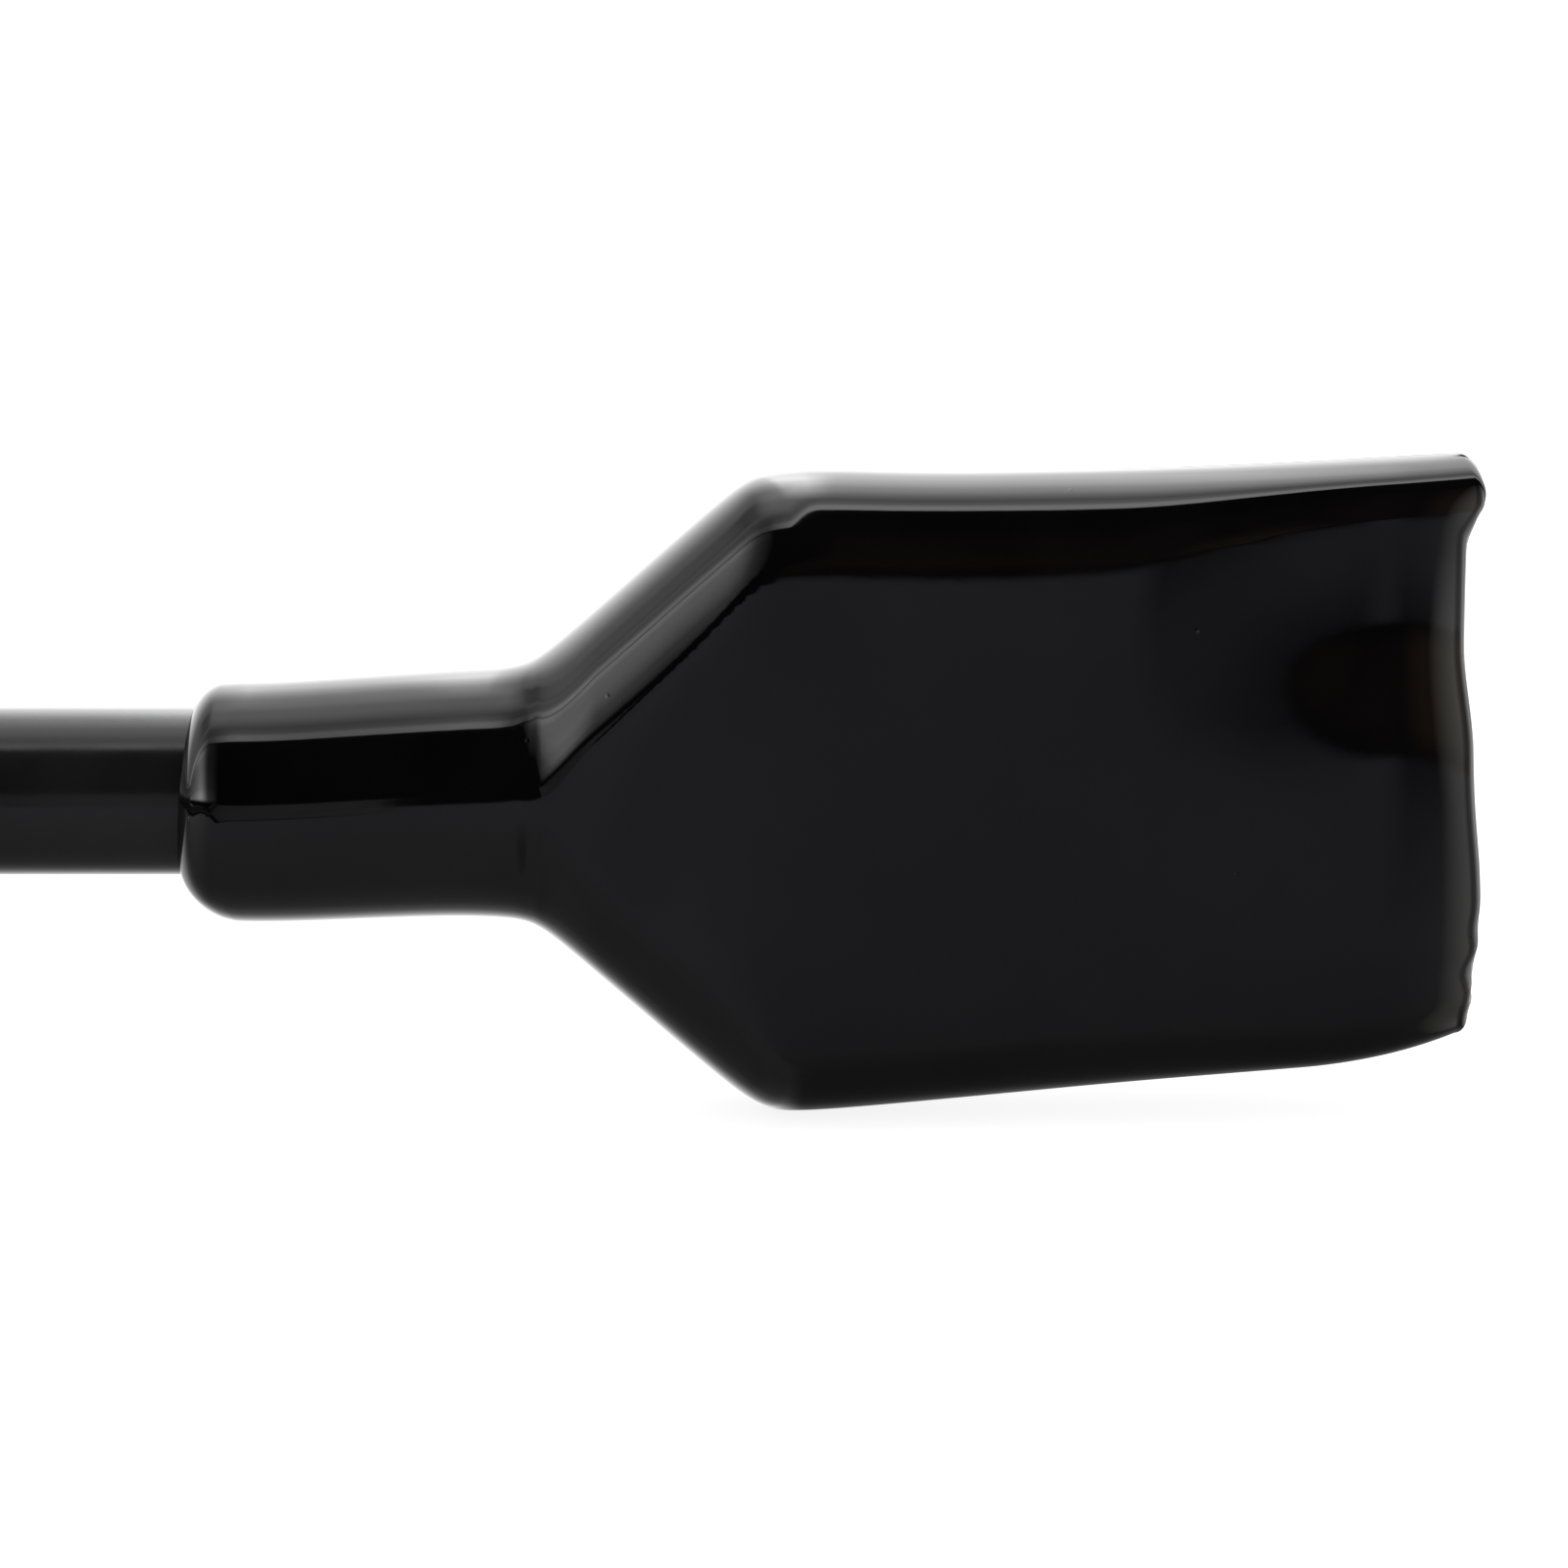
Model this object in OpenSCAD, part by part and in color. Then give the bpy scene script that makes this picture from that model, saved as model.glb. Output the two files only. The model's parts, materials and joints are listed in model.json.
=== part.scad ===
// Two-armed leaf grabber with hollow dipped hands.
// The arms cross on one bolt, like scissors: closing the grips brings the two palms together.
// Millimetres. +Z is up and +X points to the hands. The origin is under the middle of the tool,
// level with the lower edges of the hands that it stands on.

/* [Arms] */
// Outside diameter of an arm tube
tube_d = 25; // [24.6:0.1:25]
// Wall thickness of an arm tube
tube_wall = 1.2; // [1:0.1:2]
// Bend radius on a tube's centre line
bend_r = 120; // [60:10:130]
// Distance from the pivot to the end of a handle
handle_reach = 330; // [300:5:360]
// Half of the distance between the closed handles' ends
handle_y = 48; // [44:1:60]
// Half of the angle between the resting arms
rest_angle = 30; // [26:1:34]
// Height of a tube's centre line over the tool's mid-plane where the arms cross
cross_z = 15; // [15:0.5:16]

/* [Hands] */
// Distance from the pivot to a hand's neck end
hand_start = 215; // [210:1:225]
// Length of a hand from its neck end to its mouth
hand_len = 192; // [180:1:200]
// Radius of the neck
neck_r = 18; // [18:0.1:18.5]
// Distance from the neck end to the fork of the frame
fork_s = 54; // [54:1:58]
// Distance from the neck end to the shoulder corners
shoulder_s = 92; // [88:1:96]
// Half of the width of a hand between the centres of its rounded edges, at the shoulders
shoulder_z = 33.5; // [30:0.25:35]
// The same at the mouth
mouth_z = 28; // [26:0.1:30]
// Rise of the mouth's middle over the neck's axis
mouth_rise = 8; // [0:0.1:9]
// Radius of a hand's rounded edges, half of its thickness
edge_r = 15; // [15:0.1:15.3]
// Wall thickness of the dipped vinyl
shell_wall = 2.6; // [2.2:0.1:2.6]

/* [Frame] */
// Outside radius of the frame's rails
rail_r = 12; // [11:0.5:12]
// Wall thickness of the rails
rail_wall = 1.5; // [1:0.1:2]
// Distance from the neck end to the ends of the rails
rail_end_s = 168; // [160:1:172]
// Outside radius of the socket on the arm tube
socket_r = 14.9; // [14.5:0.1:14.9]

/* [Grips] */
// Length of a grip
grip_len = 125; // [110:1:135]
// Mean outside radius of a grip
grip_r = 15.6; // [15.5:0.1:17]
// Radius of the hanging hole
hang_r = 4; // [3:0.5:5]

/* [Pivot] */
// Radius of the pivot bolt
bolt_r = 4; // [3:0.5:5]
// Thickness of the friction washer between the arms
friction_t = 1.5; // [1:0.1:1.6]

/* [Hidden] */
$fn = 96;
ball_fn = 32;
tube_sides = 28;
rail_sides = 20;
bend_steps = 4;
gap = 0.1;
run_gap = 0.05;
face_gap = 0.15;

tube_r = tube_d / 2;
bore_r = tube_r - tube_wall;

// The tool's place in its frame
pivot_x = -32;
lift = shoulder_z + edge_r;

// The arm's route, as it lies when the tool is closed
toe_in = 1.3;
hand_y = 19.8;
lead_in = 65;
tube_in_hand = 48;
toe = [cos(toe_in), -sin(toe_in), 0];
neck_end = [hand_start, hand_y, 0];
route = [
    [-handle_reach, -handle_y, 0],
    [-140, -30, 0],
    [-55, -5, cross_z],
    [55, 5, cross_z],
    neck_end - lead_in * toe,
    neck_end + tube_in_hand * toe
];
handle_turn = atan2(route[1].y - route[0].y, route[1].x - route[0].x);

// The frame's centre lines in a hand's own axes: X from the neck end, Z across the hand
fork = [fork_s, 0, 0];
function shoulder(side) = [shoulder_s, 0, side * shoulder_z];
function mouth(side) = [hand_len, 0, side * mouth_z + mouth_rise];
function rail_end(side) =
    shoulder(side) + (mouth(side) - shoulder(side)) * (rail_end_s - shoulder_s) / (hand_len - shoulder_s);
SIDES = [1, -1];
rail_bend_r = 26;

// How much thicker the hand is than its rounded edges, so that the closed palms lie flat together
fork_swell = 1.2;
shoulder_swell = 1.15;
mouth_swell = 1.01;

// The socket and the neck
socket_start = 6;
socket_end = 52;
neck_dome = 7;
neck_blend = 9;
rivet_s = [18, 40];
rivet_r = 2.4;

// The pivot's stack, from the mid-plane outwards
bush_r = 6;
saddle_r = 12;
saddle_top = 8;
cap_r = 11;
cap_bottom = 22;
cap_top = 30.5;
washer_r = 8.5;
washer_t = 1.6;
head_af = 13;
head_h = 5.3;
nut_h = 8;
bolt_tail = 2.5;
bolt_top = cap_top + washer_t;
nut_top = -cap_top - face_gap - washer_t;

// The grip and its end cap
grip_waves = 5;
wave_h = 0.5;
grip_round = 3;
cap_flange = 3;
plug_len = 18;
tab_w = 20;
tab_t = 6;
tab_len = 16;

function unit(v) = v / norm(v);

// A round bar from point a to point b
module rod(a, b, r) {
    d = b - a;
    translate(a) rotate([0, acos(d.z / norm(d)), atan2(d.y, d.x)]) cylinder(h = norm(d), r = r);
}

// The centre line of a bent bar along the points p, as stations of [place, direction]
function turn(a, b, c) = acos(unit(b - a) * unit(c - b));
function bend_stations(a, b, c, radius) =
    let (ahead = unit(b - a), out = -cross(unit(cross(ahead, c - b)), ahead), angle = turn(a, b, c))
    let (centre = b - radius * tan(angle / 2) * ahead - radius * out)
    [for (k = [0:bend_steps]) let (f = angle * k / bend_steps)
        [centre + radius * (cos(f) * out + sin(f) * ahead), cos(f) * ahead - sin(f) * out]];
function stations(p, radius, extra = 0) =
    let (last = len(p) - 1, first_way = unit(p[1] - p[0]), last_way = unit(p[last] - p[last - 1]))
    concat(
        [[p[0] - extra * first_way, first_way]],
        [for (i = [1:last - 1]) each bend_stations(p[i - 1], p[i], p[i + 1], radius)],
        [[p[last] + extra * last_way, last_way]]
    );

// The corners of a ring around a station
function ring(at, r, sides) =
    let (u = unit(cross([0, 0, 1], at[1])), v = cross(at[1], u))
    [for (k = [0:sides - 1]) at[0] + r * (cos(360 * k / sides) * u + sin(360 * k / sides) * v)];
function wall(i, j, sides) =
    [for (k = [0:sides - 1]) let (n = (k + 1) % sides)
        [i * sides + k, j * sides + k, j * sides + n, i * sides + n]];

// A solid round bar through the stations
module bent_rod(line, r, sides) {
    last = len(line) - 1;
    polyhedron([for (at = line) each ring(at, r, sides)], concat(
        [[for (k = [0:sides - 1]) k]],
        [[for (k = [sides - 1:-1:0]) last * sides + k]],
        [for (i = [0:last - 1]) each wall(i, i + 1, sides)]
    ));
}

// A tube through the stations: its skin goes out along the outside and comes back along the bore
module bent_tube(line, r, bore, sides) {
    n = len(line);
    polyhedron(
        [for (i = [0:2 * n - 1]) each i < n ? ring(line[i], r, sides) : ring(line[2 * n - 1 - i], bore, sides)],
        [for (i = [0:2 * n - 1]) each wall(i, (i + 1) % (2 * n), sides)]
    );
}

module tube_ring(r_out, r_in, h) {
    difference() {
        cylinder(h = h, r = r_out);
        translate([0, 0, -1]) cylinder(h = h + 2, r = r_in);
    }
}

// Lays a thing that is drawn along +Z along +X
module along_x() {
    rotate([0, 90, 0]) children();
}

// The two arms at rest. Arm B is arm A turned over about X, so that it passes under arm A.
module rest_a() {
    translate([pivot_x, 0, lift]) rotate([0, 0, rest_angle]) children();
}
module rest_b() {
    translate([pivot_x, 0, lift]) rotate([0, 0, -rest_angle]) rotate([180, 0, 0]) children();
}

// The hands' own axes. Hand B is the mirror image of hand A, so that the palms meet all over.
module in_hand_a() {
    rest_a() translate(neck_end) rotate([0, 0, -toe_in]) children();
}
module in_hand_b() {
    translate([pivot_x, 0, lift]) rotate([0, 0, -rest_angle]) mirror([0, 1, 0])
        translate(neck_end) rotate([0, 0, -toe_in]) children();
}

// The handle's own axes: X from the tube's end towards the pivot
module on_handle() {
    translate(route[0]) rotate([0, 0, handle_turn]) children();
}

module arm_tube() {
    color([0.05, 0.05, 0.055]) difference() {
        bent_tube(stations(route, bend_r), tube_r, bore_r, tube_sides);
        cylinder(h = 3 * cross_z, r = bush_r + run_gap);
    }
}

// Both rivets, or the holes for them
module rivets(r, h) {
    for (s = rivet_s) translate([s, 0, 0]) cylinder(h = h, r = r, center = true);
}

module frame_socket() {
    color([0.62, 0.63, 0.65]) difference() {
        translate([socket_start, 0, 0]) along_x()
            tube_ring(socket_r, tube_r + gap, socket_end - socket_start);
        rivets(rivet_r + run_gap, 3 * socket_r);
    }
}

module socket_rivets() {
    color([0.75, 0.75, 0.77]) intersection() {
        rivets(rivet_r, 3 * socket_r);
        along_x() cylinder(h = socket_end, r = socket_r);
    }
}

module rail_bars(r, extra) {
    for (side = SIDES)
        bent_rod(stations([fork, shoulder(side), rail_end(side)], rail_bend_r, extra), r, rail_sides);
}

module frame_rails() {
    color([0.62, 0.63, 0.65]) difference() {
        rail_bars(rail_r, 0);
        rail_bars(rail_r - rail_wall, 1);
        translate([0, -hand_len, -hand_len]) cube([socket_end, 2 * hand_len, 2 * hand_len]);
    }
}

module rail_plugs() {
    shank_r = (rail_r - rail_wall) * cos(180 / rail_sides) - gap;
    color([0.08, 0.08, 0.08]) for (side = SIDES) {
        way = unit(mouth(side) - shoulder(side));
        rod(rail_end(side) - 10 * way, rail_end(side) + way, shank_r);
        rod(rail_end(side), rail_end(side) + 2 * way, rail_r);
    }
}

// A corner of the hand's outline, swollen away from the palm's mid-plane
module corner(at, r, swell) {
    translate(at) scale([1, swell, 1]) sphere(r, $fn = ball_fn);
}

// The space inside the hand's outline at radius r around the frame's centre lines
module hand_body(r) {
    hull() {
        corner(fork, r, fork_swell);
        for (side = SIDES) corner(shoulder(side), r, shoulder_swell);
    }
    hull() for (side = SIDES) {
        corner(shoulder(side), r, shoulder_swell);
        corner(mouth(side), r, mouth_swell);
    }
}

module neck() {
    arc = [for (a = [0:10:90]) [neck_r - neck_dome * (1 - sin(a)), neck_dome * (1 - cos(a))]];
    along_x() rotate_extrude() polygon(concat([[0, 0]], arc, [[neck_r, fork_s - 2], [0, fork_s - 2]]));
    translate([fork_s - 2, 0, 0]) along_x() cylinder(h = neck_blend, r1 = neck_r, r2 = edge_r - 1);
}

module hand_shell() {
    color([0.02, 0.02, 0.022]) difference() {
        union() {
            neck();
            hand_body(edge_r);
        }
        translate([-1, 0, 0]) along_x() cylinder(h = fork_s, r = tube_r + gap);
        translate([socket_start - gap, 0, 0]) along_x()
            cylinder(h = fork_s - socket_start, r = socket_r + gap);
        hand_body(edge_r - shell_wall);
        translate([hand_len, -hand_len, -hand_len]) cube(2 * hand_len);
    }
}

// A sleeve with shallow waves for the fingers and rounded ends
function grip_edge(x) =
    let (near_end = max(0, grip_round - min(x, grip_len - x)))
    grip_r + wave_h * cos(360 * grip_waves * x / grip_len) - grip_round
    + sqrt(max(0, pow(grip_round, 2) - pow(near_end, 2)));
module hand_grip() {
    outer = [for (i = [0:100]) [grip_edge(grip_len * i / 100), grip_len * i / 100]];
    inner = [[tube_r + gap, grip_len], [tube_r + gap, 0]];
    color([0.02, 0.02, 0.022]) along_x() rotate_extrude() polygon(concat(outer, inner));
}

module hang_cap() {
    color([0.06, 0.06, 0.06]) difference() {
        union() {
            along_x() cylinder(h = plug_len, r = bore_r * cos(180 / tube_sides) - gap);
            translate([-cap_flange, 0, 0]) along_x() cylinder(h = cap_flange, r = grip_r - 1);
            translate([-cap_flange - tab_len, 0, -tab_t / 2]) {
                cylinder(h = tab_t, d = tab_w);
                translate([0, -tab_w / 2, 0]) cube([tab_len + 1, tab_w, tab_t]);
            }
        }
        translate([-cap_flange - tab_len, 0, -tab_t]) cylinder(h = 2 * tab_t, r = hang_r);
    }
}

// A disc whose far side is hollowed to the tube that it seats on
module saddle(r, low, high) {
    difference() {
        translate([0, 0, low]) cylinder(h = high - low, r = r);
        rod(route[2] - 20 * unit(route[3] - route[2]), route[3], tube_r + run_gap);
    }
}

module pivot_bush(face) {
    color([0.07, 0.07, 0.075]) difference() {
        union() {
            saddle(saddle_r, face, saddle_top);
            translate([0, 0, face]) cylinder(h = cross_z + tube_r - face, r = bush_r);
        }
        cylinder(h = 3 * cross_z, r = bolt_r + run_gap);
    }
}

module saddle_cap() {
    color([0.07, 0.07, 0.075]) difference() {
        saddle(cap_r, cap_bottom, cap_top);
        cylinder(h = cross_z + tube_r + gap, r = bush_r + run_gap);
        cylinder(h = 3 * cross_z, r = bolt_r + run_gap);
    }
}

module on_pivot() {
    translate([pivot_x, 0, lift]) rotate([0, 0, rest_angle]) children();
}

module pivot_bolt() {
    tail = nut_top - nut_h - bolt_tail;
    color([0.7, 0.7, 0.72]) {
        translate([0, 0, tail]) cylinder(h = bolt_top - tail, r = bolt_r);
        translate([0, 0, bolt_top]) cylinder(h = head_h, d = head_af / cos(30), $fn = 6);
    }
}

module lock_nut() {
    color([0.7, 0.7, 0.72]) translate([0, 0, nut_top - nut_h]) difference() {
        cylinder(h = nut_h, d = head_af / cos(30), $fn = 6);
        translate([0, 0, -1]) cylinder(h = nut_h + 2, r = bolt_r + run_gap);
    }
}

module flat_washer(z) {
    color([0.7, 0.7, 0.72]) translate([0, 0, z]) tube_ring(washer_r, bolt_r + gap, washer_t);
}

module friction_washer() {
    color([0.2, 0.2, 0.2]) translate([0, 0, -friction_t / 2])
        tube_ring(saddle_r - 1, bolt_r + run_gap, friction_t);
}

rest_a() arm_tube();  // arm_tube_a
rest_b() arm_tube();  // arm_tube_b
in_hand_a() frame_socket();  // frame_socket_a
in_hand_b() frame_socket();  // frame_socket_b
in_hand_a() frame_rails();  // frame_rails_a
in_hand_b() frame_rails();  // frame_rails_b
in_hand_a() socket_rivets();  // socket_rivets_a
in_hand_b() socket_rivets();  // socket_rivets_b
in_hand_a() rail_plugs();  // rail_plugs_a
in_hand_b() rail_plugs();  // rail_plugs_b
in_hand_a() hand_shell();  // hand_shell_a
in_hand_b() hand_shell();  // hand_shell_b
rest_a() on_handle() hand_grip();  // hand_grip_a
rest_b() on_handle() hand_grip();  // hand_grip_b
rest_a() on_handle() hang_cap();  // hang_cap_a
rest_b() on_handle() hang_cap();  // hang_cap_b
rest_a() pivot_bush(friction_t / 2);  // pivot_bush_a
rest_b() pivot_bush(friction_t / 2 + face_gap);  // pivot_bush_b
rest_a() saddle_cap();  // saddle_cap_a
rest_b() saddle_cap();  // saddle_cap_b
on_pivot() pivot_bolt();
on_pivot() lock_nut();
on_pivot() flat_washer(cap_top);  // head_washer
on_pivot() flat_washer(nut_top);  // nut_washer
on_pivot() friction_washer();
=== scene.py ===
"""Looks of a two-armed leaf grabber with hollow, dip-moulded hands.

The tool is two bent tubes that cross on a bolt like scissors. Each tube carries a glossy vinyl hand over a
welded rail frame at one end, and a dipped grip with a hanging tab at the other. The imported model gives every
body, joint and box. This script dresses it: the surfaces that show are worked out on numpy grids in
millimetres, in an arm's own closed-position axes, and then placed in the frame in metres.
"""

import json
import logging
import math
from dataclasses import dataclass, replace
from enum import Enum
from typing import Sequence

import bpy
import numpy as np
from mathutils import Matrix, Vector


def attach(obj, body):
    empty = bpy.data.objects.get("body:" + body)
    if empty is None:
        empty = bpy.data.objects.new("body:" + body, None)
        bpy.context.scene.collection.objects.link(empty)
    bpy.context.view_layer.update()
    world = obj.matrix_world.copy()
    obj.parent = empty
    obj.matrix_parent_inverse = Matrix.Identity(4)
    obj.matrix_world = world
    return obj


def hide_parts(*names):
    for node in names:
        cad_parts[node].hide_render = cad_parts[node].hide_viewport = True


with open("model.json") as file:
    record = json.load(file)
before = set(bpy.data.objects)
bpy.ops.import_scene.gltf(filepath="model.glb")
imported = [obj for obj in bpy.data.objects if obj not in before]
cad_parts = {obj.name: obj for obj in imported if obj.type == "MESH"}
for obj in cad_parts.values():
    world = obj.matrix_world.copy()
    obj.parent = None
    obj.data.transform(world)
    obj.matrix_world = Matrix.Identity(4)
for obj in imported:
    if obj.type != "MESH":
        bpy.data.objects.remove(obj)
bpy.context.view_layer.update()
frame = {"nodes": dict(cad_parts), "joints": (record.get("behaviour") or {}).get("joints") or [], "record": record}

Array = np.ndarray
Socket = bpy.types.NodeSocket
log = logging.getLogger("leaf_grabber")

MM = 0.001


# ---- Small curves and grids ----

def smoothstep(x: Array, low: float, high: float) -> Array:
    """Rises from 0 at low to 1 at high as 3t^2 - 2t^3, with t the clipped share of the way.

    Args:
        x: Where to read the curve.
        low: Where it leaves 0.
        high: Where it reaches 1.

    Returns:
        The curve's height at each x.
    """
    t = np.clip((np.asarray(x, float) - low) / (high - low), 0.0, 1.0)
    return t * t * (3.0 - 2.0 * t)


def circle(count: int) -> Array:
    """count angles, evenly spaced once round from 0."""
    return np.linspace(0.0, 2.0 * math.pi, count, endpoint=False)


def bump(x: Array, centre: float, width: float) -> Array:
    """A bell, exp(-((x - centre) / width)^2)."""
    return np.exp(-(((np.asarray(x, float) - centre) / width) ** 2))


@dataclass(frozen=True)
class Step:
    """A smooth step: nothing before start, and its full height past end."""

    height: float
    start: float
    end: float

    def at(self, x: Array) -> Array:
        """The step's height at each x."""
        return self.height * smoothstep(x, self.start, self.end)


@dataclass(frozen=True)
class Bell:
    """A bell of the given height and width round its centre."""

    height: float
    centre: float
    width: float

    def at(self, x: Array) -> Array:
        """The bell's height at each x."""
        return self.height * bump(x, self.centre, self.width)


def soft_max(a: Array, b: Array, k: float) -> Array:
    """The larger of a and b with a round corner: (a + b + sqrt((a - b)^2 + k^2)) / 2."""
    return (a + b + np.sqrt((a - b) ** 2 + k * k)) / 2.0


def soft_min(a: Array, b: Array, k: float) -> Array:
    """The smaller of a and b with a round corner, the mirror image of soft_max."""
    return -soft_max(-np.asarray(a, float), -np.asarray(b, float), k)


def unit(v: Array) -> Array:
    """v along its last axis, scaled to length 1."""
    return v / np.linalg.norm(v, axis=-1, keepdims=True)


def spread(stops: Sequence[tuple[float, int]], start: float) -> Array:
    """Stations along a line, with their own count on each stretch.

    Args:
        stops: (end of the stretch, number of steps to it) for each stretch in turn.
        start: Where the first stretch begins.

    Returns:
        All stations in order, the first at start.
    """
    parts, at = [np.array([start])], start
    for end, steps in stops:
        parts.append(np.linspace(at, end, steps + 1)[1:])
        at = end
    return np.concatenate(parts)


def grid_object(name: str, grid: Array, hollow: bool, mirrored: bool) -> bpy.types.Object:
    """A mesh object from a grid of points whose columns close on themselves.

    Row i, column k joins to row i + 1 and column k + 1. The columns run anticlockwise as seen from ahead of
    the rows' direction, so that the faces point outwards.

    Args:
        name: Name of the new object.
        grid: Points of shape (rows, columns, 3) in the row frame, in metres.
        hollow: Joins the last row to the first, as on a tube with a bore. A solid grid's first and last rows
            are closed with a fan round their middles instead.
        mirrored: The points were mirrored, so the faces are turned round.

    Returns:
        The object, linked to the scene and shaded smooth.
    """
    rows, cols = grid.shape[:2]
    verts = grid.reshape(-1, 3)
    i = np.arange(rows if hollow else rows - 1)[:, None]
    k = np.arange(cols)[None, :]
    j, n = (i + 1) % rows, (k + 1) % cols
    corners = np.broadcast_arrays(i * cols + k, i * cols + n, j * cols + n, j * cols + k)
    faces = [np.stack(corners, -1).reshape(-1, 4)]
    if not hollow:
        ring = np.arange(cols)
        first, last = len(verts), len(verts) + 1
        verts = np.vstack([verts, grid[0].mean(0), grid[-1].mean(0)])
        base = (rows - 1) * cols
        start = np.stack([np.full(cols, first), (ring + 1) % cols, ring], -1)
        end = np.stack([np.full(cols, last), base + ring, base + (ring + 1) % cols], -1)
        faces += [start, end]
    if mirrored:
        faces = [f[:, ::-1] for f in faces]
    return mesh_object(name, verts, faces)


def mesh_object(name: str, verts: Array, faces: Sequence[Array]) -> bpy.types.Object:
    """A smooth-shaded object from vertices and blocks of faces.

    Args:
        name: Name of the new object.
        verts: Points of shape (count, 3), in metres.
        faces: Blocks of shape (count, corners), each with one number of corners.

    Returns:
        The object, linked to the scene.
    """
    mesh = bpy.data.meshes.new(name)
    corners = np.concatenate([f.reshape(-1) for f in faces]).astype(np.int32)
    sizes = np.concatenate([np.full(len(f), f.shape[1]) for f in faces]).astype(np.int32)
    mesh.vertices.add(len(verts))
    mesh.vertices.foreach_set("co", np.ascontiguousarray(verts, dtype=np.float32).reshape(-1))
    mesh.loops.add(len(corners))
    mesh.loops.foreach_set("vertex_index", corners)
    mesh.polygons.add(len(sizes))
    starts = np.concatenate([[0], np.cumsum(sizes)[:-1]]).astype(np.int32)
    mesh.polygons.foreach_set("loop_start", starts)
    mesh.polygons.foreach_set("use_smooth", np.ones(len(sizes), dtype=bool))
    mesh.update(calc_edges=True)
    mesh.validate()
    obj = bpy.data.objects.new(name, mesh)
    bpy.context.scene.collection.objects.link(obj)
    return obj


def sweep(centres: Array, ahead: Array, radii: Array, sides: int) -> Array:
    """Rings of points round a line: centre + r (cos a u + sin a v), with u level and v square to both.

    Args:
        centres: Ring centres, (rings, 3).
        ahead: Directions of the line at each ring, (rings, 3).
        radii: Radius of each ring.
        sides: Points in a ring.

    Returns:
        A grid of shape (rings, sides, 3).
    """
    ahead = unit(ahead)
    u = unit(np.cross(np.array([0.0, 0.0, 1.0]), ahead))
    v = np.cross(ahead, u)
    a = circle(sides)
    r = np.asarray(radii, float)[:, None, None]
    spokes = np.cos(a)[None, :, None] * u[:, None, :] + np.sin(a)[None, :, None] * v[:, None, :]
    return centres[:, None, :] + r * spokes


def pipe(places: Array, ways: Array, radius: float, wall: float, sides: int) -> Array:
    """A round pipe as a closed loop of rings, out along the outside and back along the bore."""
    outer = sweep(places, ways, np.full(len(places), radius), sides)
    inner = sweep(places, ways, np.full(len(places), radius - wall), sides)
    return np.concatenate([outer, inner[::-1]])


def along_x(profile: Array, sides: int) -> Array:
    """Turns a profile round the X axis.

    Args:
        profile: (x, radius) pairs along the outline.
        sides: Points in a ring.

    Returns:
        A grid of shape (points, sides, 3).
    """
    centres = np.zeros((len(profile), 3))
    centres[:, 0] = profile[:, 0]
    return sweep(centres, np.tile([1.0, 0.0, 0.0], (len(profile), 1)), profile[:, 1], sides)


def arc(cx: float, cy: float, r: float, start: float, end: float, steps: int) -> Array:
    """Points on a circle from the start angle to the end angle, in degrees."""
    a = np.radians(np.linspace(start, end, steps + 1))
    return np.stack([cx + r * np.cos(a), cy + r * np.sin(a)], -1)


def bent_line(points: Array, radius: float, steps: int, spacing: float) -> tuple[Array, Array]:
    """A line through corner points, with each corner rounded to an arc.

    Args:
        points: The corner points, (count, 3).
        radius: Radius of the arcs.
        steps: Steps in an arc.
        spacing: Longest step on the straight runs.

    Returns:
        The places along the line and the directions there.
    """
    places, ways = [points[:1]], [unit(points[1] - points[0])[None]]
    for a, b, c in zip(points[:-2], points[1:-1], points[2:]):
        ahead, after = unit(b - a), unit(c - b)
        angle = math.acos(float(np.clip(ahead @ after, -1.0, 1.0)))
        out = -np.cross(unit(np.cross(ahead, after)), ahead)
        centre = b - radius * math.tan(angle / 2.0) * ahead - radius * out
        f = np.linspace(0.0, angle, steps + 1)[:, None]
        places.append(centre + radius * (np.cos(f) * out + np.sin(f) * ahead))
        ways.append(np.cos(f) * ahead - np.sin(f) * out)
    places.append(points[-1:])
    ways.append(unit(points[-1] - points[-2])[None])
    place, way = np.concatenate(places), np.concatenate(ways)
    gaps = np.linalg.norm(np.diff(place, axis=0), axis=1)
    reach = np.concatenate([[0.0], np.cumsum(gaps)])
    counts = np.maximum(1, np.ceil(gaps / spacing)).astype(int)
    at = spread(list(zip(reach[1:], counts)), 0.0)
    fine = np.stack([np.interp(at, reach, place[:, n]) for n in range(3)], -1)
    turn = np.stack([np.interp(at, reach, way[:, n]) for n in range(3)], -1)
    return fine, unit(turn)


# ---- Where things are ----

class Side(Enum):
    """The tool's two arms. The value is the side of the closed palms' plane that the hand is on."""

    A = 1
    B = -1

    @property
    def body(self) -> str:
        """The CAD body that the arm's pieces ride on."""
        return self.node("arm")

    def node(self, stem: str) -> str:
        """The name of the arm's own node or piece with this stem."""
        return f"{stem}_{self.name.lower()}"


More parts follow.
